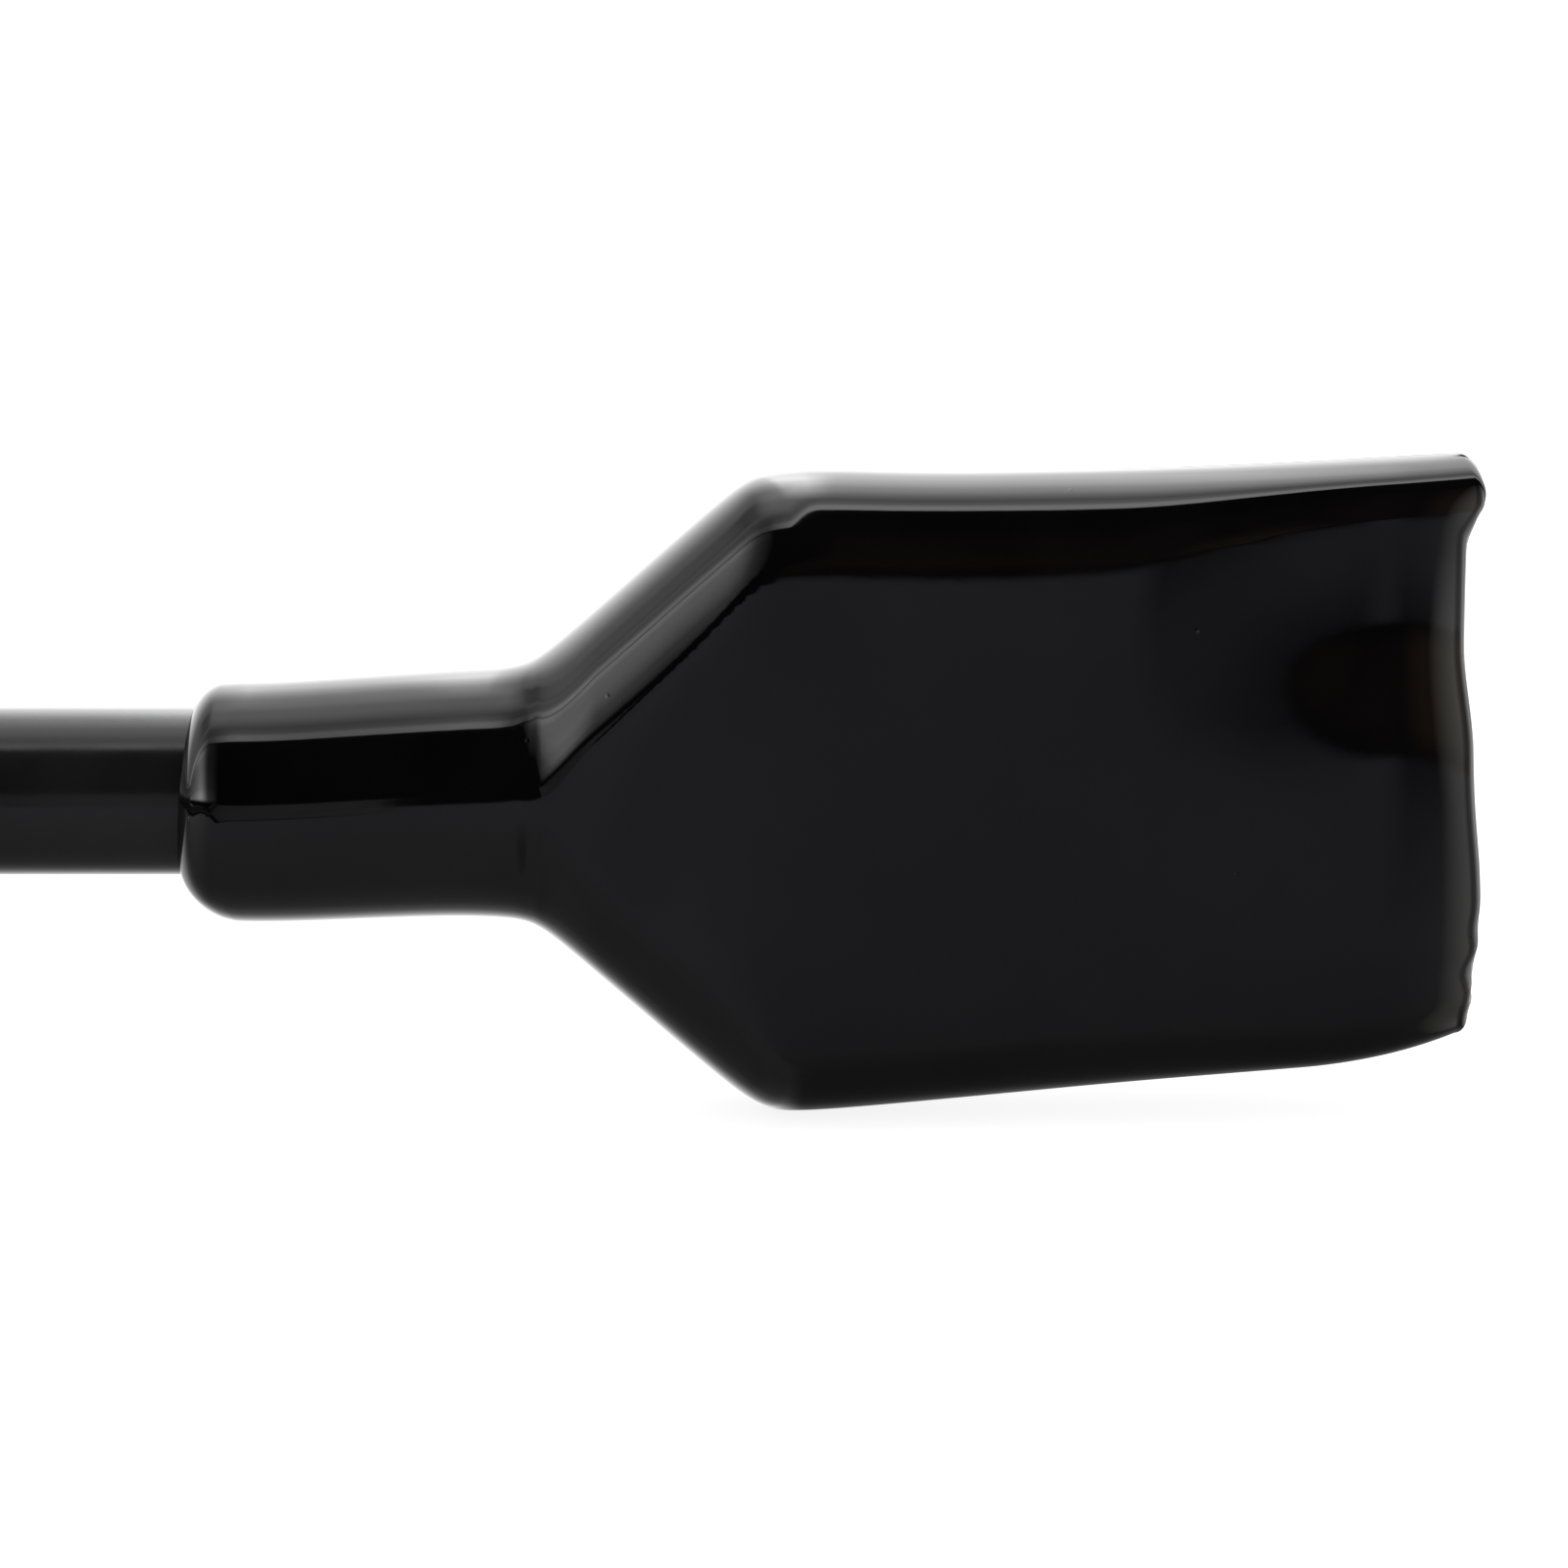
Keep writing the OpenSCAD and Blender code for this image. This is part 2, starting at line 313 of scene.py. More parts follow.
@dataclass(frozen=True)
class Layout:
    """The arms' shared layout, in millimetres, with the tool closed and the pivot at the origin."""

    rest_angle: float = 30.0
    toe_in: float = 1.3
    hand_start: float = 215.0
    hand_y: float = 19.8
    lead_in: float = 65.0
    tube_in_hand: float = 48.0
    cross_z: float = 15.0
    handle_end: tuple[float, float] = (-330.0, -48.0)

    @property
    def pivot(self) -> Array:
        """The pivot's place in the frame, in metres."""
        return np.array(frame["joints"][0]["pos_m"], float)

    @property
    def toe(self) -> Array:
        """The direction of a hand's axis on arm A."""
        t = math.radians(self.toe_in)
        return np.array([math.cos(t), -math.sin(t), 0.0])

    @property
    def neck_end(self) -> Array:
        """The middle of a hand's neck end on arm A."""
        return np.array([self.hand_start, self.hand_y, 0.0])

    @property
    def route(self) -> Array:
        """The corner points of an arm tube's centre line."""
        return np.array([
            [*self.handle_end, 0.0],
            [-140.0, -30.0, 0.0],
            [-55.0, -5.0, self.cross_z],
            [55.0, 5.0, self.cross_z],
            self.neck_end - self.lead_in * self.toe,
            self.neck_end + self.tube_in_hand * self.toe,
        ])

    def turned(self, p: Array, degrees: float) -> Array:
        """p turned about Z by this many degrees."""
        a = math.radians(degrees)
        x, y = p[..., 0], p[..., 1]
        return np.stack([x * math.cos(a) - y * math.sin(a), x * math.sin(a) + y * math.cos(a), p[..., 2]], -1)

    def arm(self, p: Array, side: Side, flipped: bool = False) -> Array:
        """Places points of arm A's closed axes on an arm at rest, in metres.

        Arm B's tube is arm A's turned over about X, and its hand is a mirror image in the palms' plane.

        Args:
            p: Points in millimetres.
            side: The arm that they go on.
            flipped: Turns arm B's points over instead of mirroring them.

        Returns:
            The points in the row frame, in metres.
        """
        signs = np.array([1.0, side.value, side.value if flipped else 1.0])
        return self.turned(p * signs, side.value * self.rest_angle) * MM + self.pivot

    def hand(self, p: Array, side: Side) -> Array:
        """Places points of a hand's own axes (X from the neck end, Z across) on an arm at rest, in metres."""
        return self.arm(self.turned(p, -self.toe_in) + self.neck_end, side)

    def handle(self, p: Array, side: Side) -> Array:
        """Places points of a handle's own axes (X from the tube's end to the pivot) on an arm, in metres."""
        run = self.route[1] - self.route[0]
        turned = self.turned(p, math.degrees(math.atan2(run[1], run[0])))
        return self.arm(turned + self.route[0], side, flipped=True)


LAYOUT = Layout()


# ---- Finishes ----

class Graph:
    """Short names for making and joining the nodes of one tree."""

    def __init__(self, tree: bpy.types.NodeTree) -> None:
        """Takes the tree, and gives it texture coordinates to read."""
        self.tree = tree
        self.coords = self.add("ShaderNodeTexCoord", {})

    def add(self, kind: str, inputs: dict, **settings: object) -> bpy.types.Node:
        """Makes a node.

        Args:
            kind: The node's type.
            inputs: For each input's name or number, a constant or the output that feeds it.
            settings: The node's own settings.

        Returns:
            The node.
        """
        node = self.tree.nodes.new(kind)
        for key, value in settings.items():
            setattr(node, key, value)
        for key, value in inputs.items():
            if isinstance(value, Socket):
                self.tree.links.new(value, node.inputs[key])
            else:
                node.inputs[key].default_value = value
        return node

    def times(self, a: Socket, b: Socket) -> Socket:
        """One value times another."""
        return self.add("ShaderNodeMath", {0: a, 1: b}, operation="MULTIPLY").outputs["Value"]


class Material(Graph):
    """A material with one Principled shader, and patterns on object coordinates to drive it."""

    def __init__(self, name: str) -> None:
        """Starts the material under this name."""
        self.material = bpy.data.materials.new(name)
        self.material.use_nodes = True
        super().__init__(self.material.node_tree)
        self.shader = self.tree.nodes["Principled BSDF"]

    def set(self, **sockets: float | tuple | Socket) -> None:
        """Sets or feeds the shader's own inputs. An underscore in a name stands for a space."""
        for key, value in sockets.items():
            target = self.shader.inputs[key.replace("_", " ")]
            if isinstance(value, Socket):
                self.tree.links.new(value, target)
            else:
                target.default_value = value

    def noise(self, scale: float, detail: float, rough: float = 0.5) -> Socket:
        """A noise pattern."""
        return self.add("ShaderNodeTexNoise", {
            "Vector": self.coords.outputs["Object"], "Scale": scale, "Detail": detail, "Roughness": rough,
        }).outputs["Fac"]

    def cells(self, scale: float, output: str) -> Socket:
        """A pattern of cells, read as their Distance or their Color."""
        inputs = {"Vector": self.coords.outputs["Object"], "Scale": scale}
        return self.add("ShaderNodeTexVoronoi", inputs).outputs[output]

    def ranged(self, source: Socket, low: float, high: float, to: tuple[float, float]) -> Socket:
        """source, carried from the range low..high to another one and clipped."""
        return self.add("ShaderNodeMapRange", {
            "Value": source, "From Min": low, "From Max": high, "To Min": to[0], "To Max": to[1],
        }).outputs["Result"]

    def tint(self, source: Socket, dark: tuple, light: tuple, low: float = 0.3, high: float = 0.7) -> None:
        """Colours the surface from dark to light as source goes from low to high."""
        ramp = self.add("ShaderNodeValToRGB", {"Fac": source})
        for element, at, colour in zip(ramp.color_ramp.elements, (low, high), (dark, light)):
            element.position, element.color = at, (*colour, 1.0)
        self.set(Base_Color=ramp.outputs["Color"])

    def relief(self, *layers: tuple[Socket, float]) -> None:
        """Raises the surface by each (pattern, height in metres) layer in turn."""
        before = {}
        for source, height in layers:
            node = self.add("ShaderNodeBump", {"Height": source, "Distance": height, **before})
            before = {"Normal": node.outputs["Normal"]}
        self.set(**before)


@dataclass(frozen=True)
class Finish:
    """A finish whose colour, roughness and relief come from noise on object coordinates.

    Each noise is (scale, detail) with the noise's own roughness after it if that isn't one half, and each
    relief layer is (scale, detail, height in metres).
    """

    slot: str
    dark: tuple
    light: tuple
    rough: tuple
    tint_noise: tuple
    rough_noise: tuple
    layers: tuple
    metal: float = 0.0

    def colour(self, m: Material) -> None:
        """Colours the surface."""
        m.tint(m.noise(*self.tint_noise), self.dark, self.light)

    def heights(self, m: Material) -> list[tuple[Socket, float]]:
        """The relief's patterns and heights."""
        return [(m.noise(scale, detail), height) for scale, detail, height in self.layers]

    def make(self) -> bpy.types.Material:
        """Builds the finish."""
        m = Material(self.slot)
        m.set(IOR=1.5, Metallic=self.metal)
        self.colour(m)
        m.set(Roughness=m.ranged(m.noise(*self.rough_noise), 0.3, 0.7, self.rough))
        m.relief(*self.heights(m))
        return m.material


@dataclass(frozen=True)
class Dipped(Finish):
    """A dipped coat that has caught a few specks of dust."""

    speck_scale: float = 230.0
    speck_share: float = 0.10
    rare_scale: float = 90.0
    speck_height: float = 0.00004

    def heights(self, m: Material) -> list[tuple[Socket, float]]:
        """The coat's own relief, and specks in the few places where a slow noise peaks."""
        speck = m.ranged(m.cells(self.speck_scale, "Distance"), 0.0, self.speck_share, (1.0, 0.0))
        rare = m.ranged(m.noise(self.rare_scale, 1.0), 0.66, 0.70, (0.0, 1.0))
        return [*super().heights(m), (m.times(speck, rare), self.speck_height)]


@dataclass(frozen=True)
class Spangled(Finish):
    """Zinc-dipped steel, whose colour changes from one crystal to the next."""

    crystal_scale: float = 260.0

    def colour(self, m: Material) -> None:
        """Colours each crystal by its own random shade."""
        m.tint(m.cells(self.crystal_scale, "Color"), self.dark, self.light, 0.0, 1.0)


def moulded(slot: str, dark: tuple, light: tuple, rough: tuple = (0.42, 0.58),
            grain: float = 1300.0) -> Finish:
    """Matte moulded plastic with a fine spark-eroded grain."""
    return Finish(slot, dark, light, rough, (80.0, 4.0), (300.0, 3.0), ((grain, 2.0, 0.00003),))


# Deep black with a wet-looking gloss and a faint orange peel.
VINYL = Dipped(
    slot="dipped_vinyl", dark=(0.0008, 0.0008, 0.0010), light=(0.0016, 0.0015, 0.0016), rough=(0.035, 0.075),
    tint_noise=(60.0, 3.0), rough_noise=(35.0, 4.0), layers=((22.0, 1.0, 0.0002), (240.0, 2.0, 0.000006)),
)
# The same dip, rubbed a little duller by hands.
GRIP_VINYL = replace(VINYL, slot="grip_vinyl", rough=(0.09, 0.2))
# Satin black with a fine peel.
PAINT = Finish(
    slot="satin_paint", dark=(0.0025, 0.0025, 0.003), light=(0.005, 0.005, 0.0055), rough=(0.14, 0.22),
    tint_noise=(45.0, 5.0, 0.6), rough_noise=(70.0, 4.0),
    layers=((900.0, 2.0, 0.000006), (120.0, 3.0, 0.00002)),
)
# Dull patches over the spangle.
GALVANISED = Spangled(
    slot="galvanised", dark=(0.36, 0.37, 0.39), light=(0.62, 0.63, 0.65), rough=(0.3, 0.5),
    tint_noise=(), rough_noise=(150.0, 4.0), layers=((500.0, 4.0, 0.00003),), metal=1.0,
)
# Bright plate with a cool cast and fine handling marks.
ZINC = Finish(
    slot="zinc", dark=(0.50, 0.51, 0.54), light=(0.70, 0.71, 0.73), rough=(0.2, 0.38),
    tint_noise=(260.0, 5.0), rough_noise=(600.0, 4.0), layers=((1400.0, 3.0, 0.000012),), metal=1.0,
)
FINISHES = {
    finish.slot: finish.make()
    for finish in (
        VINYL,
        GRIP_VINYL,
        PAINT,
        GALVANISED,
        ZINC,
        moulded("nylon", (0.020, 0.020, 0.021), (0.030, 0.030, 0.031)),
        moulded("black_plastic", (0.010, 0.010, 0.011), (0.018, 0.018, 0.019)),
        moulded("fibre", (0.06, 0.045, 0.035), (0.12, 0.10, 0.08), (0.7, 0.9), 2200.0),
    )
}


def dress(obj: bpy.types.Object, slot: str) -> None:
    """Gives a piece or a CAD node one of the finishes, in all its material slots."""
    material = FINISHES[slot]
    if not obj.material_slots:
        obj.data.materials.append(material)
    for held in obj.material_slots:
        held.material = material


def add_piece(name: str, grid: Array, body: str, slot: str, node: str, hollow: bool = True,
              mirrored: bool = False) -> None:
    """Makes a piece, dresses it, mounts it on its body and lets it stand for its CAD node.

    Args:
        name: The piece's name.
        grid: Its points, as grid_object takes them.
        body: The CAD body that it moves with.
        slot: Its material slot in the record, which is also the finish's name.
        node: The CAD node that it stands for.
        hollow: Whether the grid is a closed loop of rows.
        mirrored: Whether the points were mirrored.
    """
    obj = grid_object(name, grid, hollow, mirrored)
    dress(obj, slot)
    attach(obj, body)
    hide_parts(node)
    log.info("%s: %d faces, on %s, finish %s", obj.name, len(obj.data.polygons), body, slot)


# ---- The hand ----

@dataclass
class Hand:
    """A hollow vinyl mitt: a round neck, sloping shoulders and a broad flat hand that is open at the end.

    Lengths are in millimetres in the hand's own axes: X from the neck end, Y away from the palm's face,
    Z across the hand. The swell and every Step up to rails_hold run over X. The Bells of dent and hollow, and
    the Steps and Bells of the lip, run over Z. top_rise and curl are (height, start, length), a sway is
    (height, X and Z stretch, phase), and askew and heel are (rate, height past which it acts).
    """

    side: Side
    wall: float = 2.6
    hole_r: float = 12.6
    dome_r: float = 7.0
    dome_crisp: float = 2.5
    dome_turns: tuple = (-0.5, 0.9)
    neck_r: float = 17.6
    neck_flare: float = 0.6
    neck_len: float = 50.0
    taper: float = 0.0214
    taper_round: float = 0.3
    edge_r: float = 14.3
    slope: float = 0.9
    crotch: tuple = (51.2, 51.2)
    neck_sag: float = 0.5
    crotch_round: float = 2.5
    corner_round: tuple = (2.8, 3.6)
    face_round: float = 3.0
    top_z: float = 47.65
    bottom_z: float = 48.9
    bottom_slope: float = 0.1
    shoulder_s: float = 92.0
    swell: Bell = Bell(0.5, 92.0, 12.0)
    top_rise: tuple = (2.5, 112.0, 76.0)
    curl: tuple = (2.8, 166.0, 22.0)
    droop: Step = Step(1.4, 8.0, 46.0)
    edge_starts: tuple = (48.0, 62.0)
    edge_tightens: Step = Step(2.4, 125.0, 186.0)
    edge_squares: Step = Step(0.22, 130.0, 185.0)
    flat_ease: float = 0.3
    dent: tuple = (Step(2.9, 138.0, 176.0), Bell(1.0, 33.5, 21.5))
    hollow: tuple = (Step(0.5, 130.0, 176.0), Bell(1.0, 26.0, 30.0))
    dents_start: tuple = (58.0, 75.0)
    rails_hold: Step = Step(0.7, 168.0, 182.0)
    sway: tuple = ((0.10, 17.0, 23.0, 0.0), (0.08, 11.0, -13.0, 1.0))
    sway_in: float = 0.10
    askew: tuple = (0.10, -7.0)
    heel: tuple = (0.02, -10.0)
    askew_ends: tuple = (2.0, 26.0)
    lip_starts: float = 150.0
    lip_steps: tuple = (Step(2.8, 39.5, 45.0), Step(-1.2, 46.5, 50.5), Step(-1.5, 8.0, 24.0))
    lip_under: Step = Step(0.5, 26.0, 34.0)
    lip_belly: Bell = Bell(1.6, -14.0, 13.0)
    lip_ripple: Bell = Bell(0.6, -25.0, 7.0)
    ripple_z: float = -28.0
    ripple_pitch: float = 7.2
    lip_back: float = 0.4
    lip_s: float = 188.6
    lip_roll: float = 14.0
    lip_turn: float = 0.95
    lip_more: Bell = Bell(0.8, 24.0, 16.0)
    cavity_s: float = 6.0
    columns: int = 232

    def neck(self, s: Array) -> Array:
        """The neck's radius at stations s, which flares steadily up to the fork."""
        return self.neck_r + self.neck_flare * np.clip(s / self.neck_len, 0.0, 1.0)

    def edges(self, s: Array, rounder: float = 0.0) -> tuple[Array, Array]:
        """The heights of the hand's upper and lower edges at stations s.

        Each edge is the neck's radius, then a slope of constant rise, then a nearly straight side, joined by
        soft corners. The upper side rises with the square of the distance towards the mouth, and the lower
        side rises steadily and curls up over the last stretch.

        Args:
            s: Stations along the hand.
            rounder: Extra rounding of the shoulder corners.

        Returns:
            The upper and lower heights.
        """
        ramps = [self.neck_r + self.neck_flare + self.slope * (s - at) for at in self.crotch]
        above = soft_max(self.neck(s), ramps[0], self.crotch_round)
        below = soft_max(self.neck(s) + self.neck_sag, ramps[1], self.crotch_round)
        (rise, rise_s, rise_len), (curl, curl_s, curl_len) = self.top_rise, self.curl
        top = self.top_z + rise * np.clip((s - rise_s) / rise_len, 0.0, None) ** 2 + self.swell.at(s)
        bottom = self.bottom_z - self.bottom_slope * (s - self.shoulder_s)
        bottom = bottom - curl * np.clip((s - curl_s) / curl_len, 0.0, None) ** 2
        droop = self.droop.height - self.droop.at(s)
        return (soft_min(above, top, self.corner_round[0] + rounder) - droop,
                -soft_min(below, bottom, self.corner_round[1] + rounder) - droop)

    def thickness(self, s: Array) -> Array:
        """Half of the hand's thickness. Past the neck it tapers, so that closed palms lie flat together."""
        body = self.neck_r + self.neck_flare - self.taper * (s - self.neck_len)
        return soft_min(self.neck(s), body, self.taper_round)

    def edge_radius(self, s: Array) -> Array:
        """Radius of the rounded edges: the neck's at first, tighter along the palm and at the mouth."""
        ease = smoothstep(s, *self.edge_starts)
        return self.neck(s) * (1.0 - ease) + (self.edge_r - self.edge_tightens.at(s)) * ease

    def sections(self, s: Array, inset: float) -> Array:
        """Cross-sections of the hand at stations s, drawn in by inset.

        A section is a stretched circle. Its columns run round from the back's middle, over the upper edge,
        to the palm's middle and back under. The share of the columns that the flat back or palm takes is its
        share of the way round, and past it y = t cos^p g and z = flat + rz sin^p g, where rz is the rest of
        the half width and the power p falls below 1 near the mouth, which squares the edge. The flat's own
        corners are rounder than the outline's, so the edges turn the corners gently.

        Args:
            s: Stations along the hand.
            inset: Distance inwards from the outer skin.

        Returns:
            A grid of shape (stations, columns, 3).
        """
        top, bottom = self.edges(s)
        step = 0.05
        after, before = self.edges(s + step, self.face_round), self.edges(s - step, self.face_round)
        rise = (after[0] - before[0] - after[1] + before[1]) / (4.0 * step)
        steep = np.sqrt(1.0 + rise**2)
        w = (top - bottom) / 2.0 - inset * steep
        mid = (top + bottom) / 2.0
        t = self.thickness(s) - inset
        inner_edges = self.edges(s, self.face_round)
        flat = np.clip((inner_edges[0] - inner_edges[1]) / 2.0 - self.edge_radius(s) * steep, 0.0, None)
        rz = w - flat
        quarter = math.pi / 2.0 * (t + rz) / 2.0
        share = 0.5 * math.pi * flat / (flat + quarter)

        angle = circle(self.columns)
        back = np.cos(angle) >= -1e-12
        folded = (np.where(back, angle, math.pi - angle) + math.pi) % (2.0 * math.pi) - math.pi
        facing = np.where(back, 1.0, -1.0)
        a, sh = np.abs(folded)[None, :], share[:, None]
        x = (a - sh) / (0.5 * math.pi - sh)
        soft = self.flat_ease * sh / (0.5 * math.pi - sh)
        eased = (x + np.sqrt(x * x + soft * soft)) / (1.0 + np.sqrt(1.0 + soft * soft))
        g = 0.5 * math.pi * eased
        out = np.sign(folded)[None, :]
        along_flat = np.clip(a / np.maximum(sh, 1e-9), 0.0, 1.0)
        power = (1.0 - self.edge_squares.at(s))[:, None]
        y = facing[None, :] * t[:, None] * np.clip(np.cos(g), 0.0, 1.0) ** power
        z = mid[:, None] + out * (flat[:, None] * along_flat + rz[:, None] * np.sin(g) ** power)
        return np.stack([np.broadcast_to(s[:, None], y.shape), y, z], -1)

    def soften(self, p: Array, inset: float) -> Array:
        """Dents and waves that a soft moulding has, as moves of the sections' points.

        The palm is pushed in by a valley that deepens towards the mouth and by a broad hollow, and the back
        by the hollow alone. The faces swim a little all over, the outer skin rolls in towards the mouth's
        edge, and the neck end is cut slightly askew. The inner skin is held back along the rails, and follows
        fully past them.

        Args:
            p: Points in the hand's axes.
            inset: Distance of the points from the outer skin.

        Returns:
            The moved points.
        """
        s, y, z = p[..., 0], p[..., 1], p[..., 2]
        depth = np.clip(np.abs(y) / (self.thickness(s) - inset), 0.0, 1.0) ** 2
        depth = depth * smoothstep(s, *self.dents_start)
        palm = np.where(y < 0.0, 1.0, 0.0)
        dent, hollow = (step.at(s) * bell.at(z) for step, bell in (self.dent, self.hollow))
        sway = sum(high * np.sin(s / a + z / b + c) for high, a, b, c in self.sway) + self.sway_in
        push = depth * (palm * (dent + hollow) + (1.0 - palm) * hollow + sway)
        rolled = np.clip((s - self.lip_s + self.lip_roll) / self.lip_roll, 0.0, 1.2)
        roll = (self.lip_turn + self.lip_more.at(z)) * rolled**3
        follow = 1.0 - self.rails_hold.height + self.rails_hold.at(s)
        push = push * follow if inset > 0.0 else push + roll
        (rate, skew_z), (heel, heel_z) = self.askew, self.heel
        skew = rate * (soft_max(z, skew_z, 2.0) - skew_z) + heel * np.clip(heel_z - z, 0.0, None) ** 2
        skew = skew * (1.0 - smoothstep(s, *self.askew_ends))
        return np.stack([s + skew, y - np.sign(y) * push, z], -1)

    def lip_shift(self, z: Array) -> Array:
        """How far the trimmed mouth stands out or in at height z: an ear, a scoop, a belly and ripples."""
        steps = sum(step.at(z) for step in self.lip_steps) + self.lip_under.at(-z)
        ripples = self.lip_ripple.at(z) * np.cos((z - self.ripple_z) / self.ripple_pitch * 2.0 * math.pi)
        return steps + ripples + self.lip_belly.at(z) - self.lip_back

    def skin(self, s: Array, inset: float) -> Array:
        """One skin of the shell at stations s, with the mouth's trimmed edge worked in."""
        p = self.sections(s, inset)
        p[..., 0] += self.lip_shift(p[..., 2]) * smoothstep(p[..., 0], self.lip_starts, self.lip_s)
        return self.soften(p, inset)

    def shell(self) -> Array:
        """The whole shell as one closed loop of rings.

        It runs from the hole's edge out over the neck end, which is a quarter circle that is tighter above
        than below, along the outer skin, round the lip, and back along the inner skin to the hole.
        """
        angle = circle(self.columns)
        dome_r = self.dome_r - self.dome_crisp * smoothstep(np.sin(angle), *self.dome_turns)
        low = np.arcsin(np.clip(1.0 - (self.neck_r - self.hole_r) / dome_r, 0.0, 1.0))
        turn = low + (math.pi / 2.0 - low) * np.linspace(0.0, 1.0, 13)[:-1, None]
        dome = self.sections(np.zeros(12), 0.0)
        scale = 1.0 - dome_r * (1.0 - np.sin(turn)) / self.neck_r
        dome[..., 0] = dome_r * (1.0 - np.cos(turn))
        dome[..., 1:] *= scale[..., None]
        outer_s = spread([(46.0, 24), (66.0, 44), (78.0, 12), (97.0, 36), (150.0, 34), (178.0, 26),
                          (self.lip_s, 20)], self.dome_r)
        inner_s = spread([(150.0, 22), (97.0, 16), (78.0, 14), (46.0, 22), (self.cavity_s, 8)], self.lip_s)
        outer, inner = self.skin(outer_s, 0.0), self.skin(inner_s, self.wall)
        b = np.linspace(0.0, math.pi, 11)[1:-1, None, None]
        middle, half = (outer[-1] + inner[0]) / 2.0, (outer[-1] - inner[0]) / 2.0
        lip = middle + half * np.cos(b) + np.array([self.wall / 2.0, 0.0, 0.0]) * np.sin(b)
        hole = np.stack([np.zeros_like(angle), self.hole_r * np.cos(angle), self.hole_r * np.sin(angle)], -1)
        hole_in = hole + [self.cavity_s, 0.0, 0.0]
        return np.concatenate([self.soften(dome, 0.0), outer, lip, inner, hole_in[None]])

    def build(self) -> None:
        """Makes the shell and lets it stand for its CAD node."""
        side = self.side
        add_piece(side.node("vinyl_hand"), LAYOUT.hand(self.shell(), side), side.body, "dipped_vinyl",
                  side.node("hand_shell"), mirrored=side is Side.B)


@dataclass
class RailFrame:
    """The welded rails inside a hand, with a plug in each open end, in the hand's own axes."""

    side: Side
    rail_r: float = 12.0
    wall: float = 1.5
    bend_r: float = 26.0
    fork: tuple = (54.0, 0.0, 0.0)
    shoulder: tuple = (92.0, 33.5)
    mouth: tuple = (192.0, 28.0, 8.0)
    end_s: float = 168.0
    cut_s: float = 52.0
    plug_len: float = 2.0
    plug_depth: float = 8.0
    plug_fit: float = 0.1
    crown_h: float = 0.5
    sides: int = 64

    def line(self, up: int) -> Array:
        """The corner points of the upper (1) or lower (-1) rail's centre line."""
        shoulder = np.array([self.shoulder[0], 0.0, up * self.shoulder[1]])
        mouth = np.array([self.mouth[0], 0.0, up * self.mouth[1] + self.mouth[2]])
        share = (self.end_s - shoulder[0]) / (mouth[0] - shoulder[0])
        return np.array([self.fork, shoulder, shoulder + share * (mouth - shoulder)])

    def rail(self, up: int) -> Array:
        """One rail as a closed loop of rings, cut off level where it leaves the socket."""
        places, ways = bent_line(self.line(up), self.bend_r, 12, 6.0)
        grid = pipe(places, ways, self.rail_r, self.wall, self.sides)
        grid[..., 0] = np.maximum(grid[..., 0], self.cut_s)
        return grid

    def plug(self, up: int) -> Array:
        """A domed plug: a shank in the bore, a rounded flange and a shallow crown."""
        a, b = self.line(up)[1:]
        way = unit(b - a)
        shank = self.rail_r - self.wall - self.plug_fit
        edge = arc(self.plug_len - 1.0, self.rail_r - 1.0, 1.0, 90.0, 30.0, 6)
        crown = np.linspace(0.93, 0.0, 12)[:, None] * [0.0, self.rail_r - 0.8] + [self.plug_len, 0.0]
        crown[:, 0] += self.crown_h * (1.0 - (crown[:, 1] / self.rail_r) ** 2) - 0.3
        deep = -self.plug_depth
        outline = np.vstack([[deep, 0.01], [deep, shank], [0.02, shank], [0.02, self.rail_r - 0.1],
                             [0.3, self.rail_r], edge, crown[:-1]])
        centres = b + outline[:, :1] * way
        return sweep(centres, np.tile(way, (len(outline), 1)), outline[:, 1], self.sides)

    def build(self) -> None:
        """Makes both rails and both plugs and lets them stand for their CAD nodes."""
        side = self.side
        for up, name in ((1, "upper"), (-1, "lower")):
            add_piece(side.node(f"{name}_rail"), LAYOUT.hand(self.rail(up), side), side.body, "galvanised",
                      side.node("frame_rails"), mirrored=side is Side.B)
            add_piece(side.node(f"{name}_plug"), LAYOUT.hand(self.plug(up), side), side.body, "black_plastic",
                      side.node("rail_plugs"), hollow=False, mirrored=side is Side.B)


# ---- The arm and its grip ----

@dataclass
class ArmTube:
    """The bent steel tube from the grip, over the pivot, into the hand."""

    side: Side
    r: float = 12.5
    wall: float = 1.2
    bend_r: float = 120.0
    sides: int = 96

    def build(self) -> None:
        """Makes the tube and lets it stand for its CAD node."""
        places, ways = bent_line(LAYOUT.route, self.bend_r, 16, 8.0)
        side = self.side
        grid = LAYOUT.arm(pipe(places, ways, self.r, self.wall, self.sides), side, flipped=True)
        add_piece(side.node("painted_arm"), grid, side.body, "satin_paint", side.node("arm_tube"))


